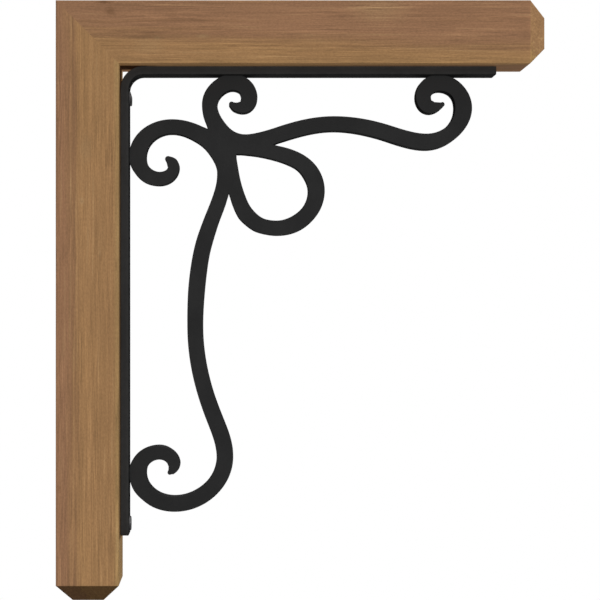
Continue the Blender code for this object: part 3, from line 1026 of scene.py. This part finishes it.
def front_outlines(shape, front):
    """The closed outlines of the face at y = front, as lists of (x, z) pairs without the tiniest steps."""
    beside = {}
    for edge in shape.edges:
        a, b = edge.verts
        on_front = abs(a.co.y - front) < SAME_PLACE and abs(b.co.y - front) < SAME_PLACE
        if on_front and any(abs(face.normal.y) < 0.5 for face in edge.link_faces):
            beside.setdefault(a, []).append(b)
            beside.setdefault(b, []).append(a)
    outlines = []
    unused = set(beside)
    for start in sorted(beside, key=lambda vert: tuple(vert.co)):
        if start not in unused:
            continue
        outline, last, here = [], None, start
        while here in unused:
            unused.discard(here)
            spot = Vector((here.co.x, here.co.z))
            if not outline or (spot - outline[-1]).length > TINIEST_STEP:
                outline.append(spot)
            ahead = [vert for vert in beside[here] if vert is not last]
            last, here = here, ahead[0]
        outlines.append(outline)
    return outlines


def arced(outline):
    """The same outline with each straight step bent into a short arc, except at real corners."""
    count = len(outline)
    aims = []
    for i, spot in enumerate(outline):
        back, ahead = spot - outline[i - 1], outline[(i + 1) % count] - spot
        mean = back.normalized() * ahead.length + ahead.normalized() * back.length
        aims.append(None if back.angle(ahead) > OUTLINE_CORNER else mean.normalized())
    finer = []
    for i, first in enumerate(outline):
        last = outline[(i + 1) % count]
        chord = last - first
        line = chord.normalized()
        leave, arrive = aims[i], aims[(i + 1) % count]
        leave = leave or (2 * line.dot(arrive) * line - arrive if arrive else line)
        arrive = arrive or 2 * line.dot(leave) * line - leave
        parts = math.ceil(chord.length / OUTLINE_STEP)
        for k in range(parts):
            t = k / parts
            pull = leave * t * (1 - t) ** 2 - arrive * t * t * (1 - t)
            between = first * (1 + 2 * t) * (1 - t) ** 2 + last * t * t * (3 - 2 * t)
            finer.append(between + pull * chord.length)
    return finer


def evened(outline):
    """The same outline with its curvature evened out, except at corners and in tight curls."""
    spots = np.array(outline)
    steps = np.linalg.norm(np.roll(spots, -1, axis=0) - spots, axis=1)
    along = np.cumsum(steps) - steps
    apart = np.abs(along[:, None] - along[None, :])
    apart = np.minimum(apart, steps.sum() - apart)
    share = np.exp(-0.5 * (apart / EVEN_REACH) ** 2) * (steps + np.roll(steps, 1))
    share /= share.sum(axis=1, keepdims=True)
    soft = share @ spots
    tight = np.linalg.norm(soft - spots, axis=1, keepdims=True)
    kept = np.clip((tight - EVEN_BELOW) / (KEPT_ABOVE - EVEN_BELOW), 0.0, 1.0)
    return spots * kept + (2 * soft - share @ soft) * (1 - kept)


def scroll_outlines(low, high):
    """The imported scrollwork's outlines at its front, made smooth and kept in its box."""
    packed = bmesh.new()
    packed.from_mesh(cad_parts["iron_scrollwork"].data)
    bmesh.ops.remove_doubles(packed, verts=packed.verts, dist=SAME_POINT)
    merge_in_line(packed)
    outlines = []
    for outline in front_outlines(packed, low.y):
        spots = evened(arced(outline)).clip((low.x, low.z), (high.x, high.z))
        outlines.append([Vector((x, low.y, z)) for x, z in spots])
    packed.free()
    return outlines


def slab(outlines, thick):
    """A slab with these outlines, which lie in a plane of constant y, grown by thick along +Y."""
    shape = bmesh.new()
    corners = [shape.verts.new(spot) for outline in outlines for spot in outline]
    for face in tessellate_polygon(outlines):
        shape.faces.new([corners[i] for i in face])
    grown = bmesh.ops.extrude_face_region(shape, geom=list(shape.faces))
    moved = [part for part in grown["geom"] if isinstance(part, bmesh.types.BMVert)]
    bmesh.ops.translate(shape, verts=moved, vec=(0.0, thick, 0.0))
    bmesh.ops.recalc_face_normals(shape, faces=shape.faces)
    merge_in_line(shape)
    return shape


def round_rims(shape, radius):
    """Rounds the rims by radius, or by as much as the tightest curls leave room for."""
    rims = [
        edge for edge in shape.edges
        if len(edge.link_faces) == 2 and edge.calc_face_angle() > RIM_ANGLE
        and any(abs(face.normal.y) > 0.9 for face in edge.link_faces)
    ]
    bmesh.ops.bevel(
        shape, geom=rims, offset=radius, segments=RIM_STEPS, profile=0.5, affect="EDGES", clamp_overlap=True,
    )


def scroll_piece(name, settings):
    """The scrollwork's packed outline made smooth, with its rims rounded."""
    low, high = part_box("iron_scrollwork")
    shape = slab(scroll_outlines(low, high), high.y - low.y)
    round_rims(shape, settings.edge_round)
    mesh = bpy.data.meshes.new(name)
    shape.to_mesh(mesh)
    shape.free()
    # Its rims aren't rubbed, so its edge values stay at 0
    mesh.attributes.new("edge", "FLOAT", "POINT")
    piece = add_piece(name, mesh, SCROLL_SHARP)
    even = piece.modifiers.new("even_shading", "WEIGHTED_NORMAL")
    even.keep_sharp = True
    even.weight = 80
    return piece


# The screw heads

SEAT_GAP = 0.02 * MM
COLLAR_SHARE, FLAT_TOP_SHARE = 1.02, 0.93
CHAMFER_SLOPE = math.tan(math.radians(25))
HEAD_STEPS = 72
SLANT_START = 1.5 * MM
COLLAR_ROUND, COLLAR_DRAW = 0.10 * MM, 0.15 * MM
RIM_DRAW, RIM_DROP = 0.25 * MM, 0.22 * MM
TOP_DISH = 0.05 * MM
# How far the head's upper half slants, as a share of its height for each metre up
HEAD_SLANTS = {"upper": 0.27, "lower": 0.0}


def hex_radius(angle, flats):
    """How far a hexagon's edge lies from its middle, in the direction of angle."""
    sector = math.pi / 3
    return flats / 2 / math.cos((angle % sector) - sector / 2)


def screw_piece(name, node, settings, slant):
    """A hex head on a round collar, its top chamfered by a cone; slant draws in its upper half.

    The hexagon has a corner towards the viewer.
    """
    low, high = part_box(node)
    middle = (low + high) / 2
    top = high.x
    seat = STRAP_BACK + bpy.context.scene.bracket_iron.strap_thick + SEAT_GAP
    lift = seat + settings.washer_height
    flats = settings.across_flats
    collar = flats / 2 * COLLAR_SHARE
    flat_top = flats / 2 * FLAT_TOP_SHARE

    def ring(height, reach, edge):
        """A ring at a height and a reach from the middle, each a number or a function."""
        made = []
        for i in range(HEAD_STEPS):
            angle = 2 * math.pi * i / HEAD_STEPS
            radius = reach(angle) if callable(reach) else reach
            x = height(radius) if callable(height) else height
            up = radius * math.sin(angle)
            x = max(seat, x - max(0.0, up - SLANT_START) * slant * (x - seat) / (top - seat))
            made.append((Vector((x, radius * math.cos(angle), middle.z + up)), edge))
        return made

    def hexagon(angle):
        return hex_radius(angle, flats)

    def inner(angle):
        return hexagon(angle) - RIM_DRAW

    def cone(radius):
        return top - max(0.0, radius - flat_top) * CHAMFER_SLOPE

    rings = [
        ring(seat, collar - COLLAR_DRAW, 0.2),
        ring(seat + COLLAR_ROUND, collar, 0.6),
        ring(lift - COLLAR_ROUND, collar, 0.6),
        ring(lift, collar - COLLAR_DRAW, 0.0),
        ring(lift, lambda angle: min(hexagon(angle), collar - 0.2 * MM), 0.0),
        ring(lift + 0.15 * MM, hexagon, 0.1),
        ring(lambda radius: cone(radius) - RIM_DROP, hexagon, 0.9),
        ring(lambda radius: cone(radius + RIM_DRAW) - 0.03 * MM, inner, 0.9),
        ring(cone, lambda angle: min(inner(angle) - 0.35 * MM, flat_top + 0.2 * MM), 0.4),
        ring(top, flat_top - 0.3 * MM, 0.25),
        ring(top - 0.6 * TOP_DISH, flat_top * 0.6, 0.0),
        ring(top - TOP_DISH, flat_top * 0.2, 0.0),
    ]
    return piece_from(name, rings)


# Steps, one for each piece or group of like pieces

# The strap's coating is lifted as painted light against the arm's shadow, and its inner side darkened as
# painted shade
STRAP_PAINTED_LIGHT, STRAP_INNER_SIDE_SHADE = 1.33, 0.42


def dress(piece, node, material):
    """Gives a piece its material and its place in the frame, and hides the solid that it stands for."""
    piece.data.materials.append(material)
    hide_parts(node)
    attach(piece, BODY)


def make_timber(node, length, timber, settings):
    piece = timber_piece(node + "_timber", length, timber, settings)
    sink(piece, wood_depth(settings, timber))
    dress(piece, node, wood_material(node + "_wood", settings, timber))


class BRACKET_OT_post(bpy.types.Operator):
    """Make the upright timber."""

    bl_idname = "bracket.post"
    bl_label = "Post"

    def execute(self, context):
        make_timber("post", HEIGHT, POST, context.scene.bracket_timber)
        return {"FINISHED"}


class BRACKET_OT_arm(bpy.types.Operator):
    """Make the level timber."""

    bl_idname = "bracket.arm"
    bl_label = "Arm"

    def execute(self, context):
        make_timber("arm", REACH, ARM, context.scene.bracket_timber)
        return {"FINISHED"}


class BRACKET_OT_strap(bpy.types.Operator):
    """Make the bent flat bar."""

    bl_idname = "bracket.strap"
    bl_label = "Strap"

    def execute(self, context):
        settings = context.scene.bracket_iron
        material = iron_material("strap_coating", settings, STRAP_PAINTED_LIGHT, STRAP_INNER_SIDE_SHADE)
        dress(strap_piece("strap_bar", settings), "iron_strap", material)
        return {"FINISHED"}


class BRACKET_OT_scrollwork(bpy.types.Operator):
    """Make the scrollwork."""

    bl_idname = "bracket.scrollwork"
    bl_label = "Scrollwork"

    def execute(self, context):
        settings = context.scene.bracket_iron
        material = iron_material("scroll_coating", settings)
        dress(scroll_piece("scroll_bars", settings), "iron_scrollwork", material)
        return {"FINISHED"}


class BRACKET_OT_screws(bpy.types.Operator):
    """Make the two screw heads."""

    bl_idname = "bracket.screws"
    bl_label = "Screws"

    def execute(self, context):
        settings = context.scene.bracket_screw
        material = screw_material("screw_steel", settings)
        for place, slant in HEAD_SLANTS.items():
            piece = screw_piece("screw_head_" + place, "screw_" + place, settings, slant)
            dress(piece, "screw_" + place, material)
        return {"FINISHED"}


# The studio

CAMERA_PLACE = (0.1751, -2.45945, -0.01165)
CAMERA_SHIFT = (0.11680, 0.00777)
SENSOR_WIDTH = 36.0
BACK_BELOW = (0.45, 0.82, -0.39)
# Each light's name, the direction that it comes from, and whether it shows in gloss and casts shadows
LIGHTS = (
    ("key", (0.25, -0.50, 0.83), True, True),
    ("fill", (0.20, -0.66, 0.60), False, False),
    ("back", BACK_BELOW, False, True),
    ("under", BACK_BELOW, False, False),
    ("side", (-0.90, 0.30, 0.30), False, True),
)
# What gloss sees in front, at both sides and overhead, as spans of direction and brightness
DIM = 0.006
FRONT_SHEEN = (-0.75, -0.15, 0.25, DIM)
SIDE_SHEEN = (0.62, 0.97, DIM, 0.20)
TOP_SHEEN = (0.25, 0.85, DIM, 0.50)
AMBIENT = (-0.7, 0.7, 0.10, 0.30)
FLOOR_SIDES = 96
FLOOR_COLOUR, FLOOR_BOUNCE = (0.80, 0.80, 0.79), (0.14, 0.14, 0.14)
FLOOR_FADE = (0.45, 0.98)


def wide_light(name, source, strength, spread, glare, shadow):
    """A far, wide, even light that comes from the direction source."""
    data = bpy.data.lights.new(name, "SUN")
    data.energy = strength
    data.angle = spread
    data.use_shadow = shadow
    light = bpy.data.objects.new(name, data)
    light.rotation_euler = Vector(source).to_track_quat("Z", "Y").to_euler()
    light.visible_glossy = glare
    bpy.context.scene.collection.objects.link(light)


def surroundings():
    """A white surround for the eye, which lights the bracket more gently than it looks."""
    world = bpy.data.worlds.new("surround")
    bpy.context.scene.world = world
    world.use_nodes = True
    w = Wiring(world.node_tree)
    world.node_tree.nodes.clear()
    away = w.split(w.node("TexCoord").outputs["Generated"])
    path = w.node("LightPath").outputs
    ambient = w.span(away["Z"], *AMBIENT)
    sides = w.span(w.calc("ABSOLUTE", away["X"]), *SIDE_SHEEN)
    sheen = w.calc("MAXIMUM", w.span(away["Y"], *FRONT_SHEEN), sides)
    sheen = w.calc("MAXIMUM", sheen, w.span(away["Z"], *TOP_SHEEN))
    soft = w.blend(path["Is Glossy Ray"], w.grey(ambient), w.grey(sheen))
    seen = w.blend(path["Is Camera Ray"], soft, (1.0, 1.0, 1.0, 1.0))
    background = w.node("Background", {"Color": seen, "Strength": 1.0})
    end = world.node_tree.nodes.new("ShaderNodeOutputWorld")
    world.node_tree.links.new(background.outputs[0], end.inputs["Surface"])


def mixed_shaders(w, factor, first, second):
    mixed = w.node("MixShader", {"Fac": factor})
    w.feed(mixed.inputs[1], first)
    w.feed(mixed.inputs[2], second)
    return mixed.outputs[0]


def floor_material(radius):
    """Pale paint that fades out towards the floor's rim, bounces little light and is clear from below."""
    material, w, shader = new_material("floor_paint")
    shader.inputs["Base Color"].default_value = rgba(FLOOR_COLOUR)
    shader.inputs["Roughness"].default_value = 0.9
    shader.inputs["Specular IOR Level"].default_value = 0.1
    path = w.node("LightPath").outputs
    dim = w.node("BsdfDiffuse", {"Color": rgba(FLOOR_BOUNCE)}).outputs[0]
    paint = mixed_shaders(w, path["Is Camera Ray"], dim, shader.outputs[0])
    from_middle = w.vector("LENGTH", w.node("TexCoord").outputs["Object"])
    clear = w.span(from_middle, *(radius * share for share in FLOOR_FADE))
    clear = w.calc("MAXIMUM", clear, w.node("NewGeometry").outputs["Backfacing"])
    clear = w.calc("MAXIMUM", clear, path["Is Shadow Ray"])
    shown = mixed_shaders(w, clear, paint, w.node("BsdfTransparent").outputs[0])
    w.feed(material.node_tree.nodes["Material Output"].inputs["Surface"], shown)
    return material


def pale_floor(height, radius, middle):
    """A round floor under the bracket."""
    shape = bmesh.new()
    bmesh.ops.create_circle(shape, cap_ends=True, segments=FLOOR_SIDES, radius=radius)
    mesh = bpy.data.meshes.new("floor")
    shape.to_mesh(mesh)
    shape.free()
    floor = bpy.data.objects.new("floor", mesh)
    floor.location = (middle.x, middle.y, height)
    bpy.context.scene.collection.objects.link(floor)
    floor.data.materials.append(floor_material(radius))


def viewer(lens):
    """A level camera in front of the bracket, which looks along +Y."""
    data = bpy.data.cameras.new("camera")
    data.lens = lens
    data.sensor_width = SENSOR_WIDTH
    data.shift_x, data.shift_y = CAMERA_SHIFT
    camera = bpy.data.objects.new("camera", data)
    camera.location = CAMERA_PLACE
    camera.rotation_euler = (math.pi / 2, 0.0, 0.0)
    bpy.context.scene.collection.objects.link(camera)
    return camera


class BRACKET_OT_studio(bpy.types.Operator):
    """Make the camera, the lights, the floor and the surround."""

    bl_idname = "bracket.studio"
    bl_label = "Studio"

    def execute(self, context):
        settings = context.scene.bracket_studio
        low, high = CAD_BOX
        context.scene.camera = viewer(settings.lens)
        context.scene.view_settings.view_transform = "Standard"
        for name, source, glare, shadow in LIGHTS:
            strength = getattr(settings, name + "_strength")
            wide_light(name, source, strength, settings.spread, glare, shadow)
        surroundings()
        pale_floor(low.z - settings.floor_drop, settings.floor_radius, (low + high) / 2)
        return {"FINISHED"}


class BRACKET_PT_panel(bpy.types.Panel):
    """The bracket's settings and steps, in the 3D view's sidebar."""

    bl_idname = "BRACKET_PT_panel"
    bl_label = "Timber Bracket"
    bl_space_type = "VIEW_3D"
    bl_region_type = "UI"
    bl_category = "Bracket"

    def draw(self, context):
        layout = self.layout
        for group, label, _ in SETTINGS:
            box = layout.box()
            box.label(text=label)
            settings = getattr(context.scene, group)
            for name in settings.bl_rna.properties.keys():
                if name not in ("rna_type", "name"):
                    box.prop(settings, name)
        for step in STEPS:
            layout.operator(step.bl_idname)


SETTINGS = (
    ("bracket_timber", "Timbers", BracketTimberSettings),
    ("bracket_iron", "Iron", BracketIronSettings),
    ("bracket_screw", "Screws", BracketScrewSettings),
    ("bracket_studio", "Studio", BracketStudioSettings),
)
STEPS = (
    BRACKET_OT_post, BRACKET_OT_arm, BRACKET_OT_strap, BRACKET_OT_scrollwork, BRACKET_OT_screws,
    BRACKET_OT_studio,
)
CLASSES = (*(group for _, _, group in SETTINGS), *STEPS, BRACKET_PT_panel)


def register():
    for made in CLASSES:
        bpy.utils.register_class(made)
    for name, _, group in SETTINGS:
        setattr(bpy.types.Scene, name, PointerProperty(type=group))


def unregister():
    for name, _, _ in SETTINGS:
        delattr(bpy.types.Scene, name)
    for made in reversed(CLASSES):
        bpy.utils.unregister_class(made)


def main():
    register()
    bpy.ops.bracket.post()
    bpy.ops.bracket.arm()
    bpy.ops.bracket.strap()
    bpy.ops.bracket.scrollwork()
    bpy.ops.bracket.screws()
    bpy.ops.bracket.studio()


if __name__ == "__main__":
    main()
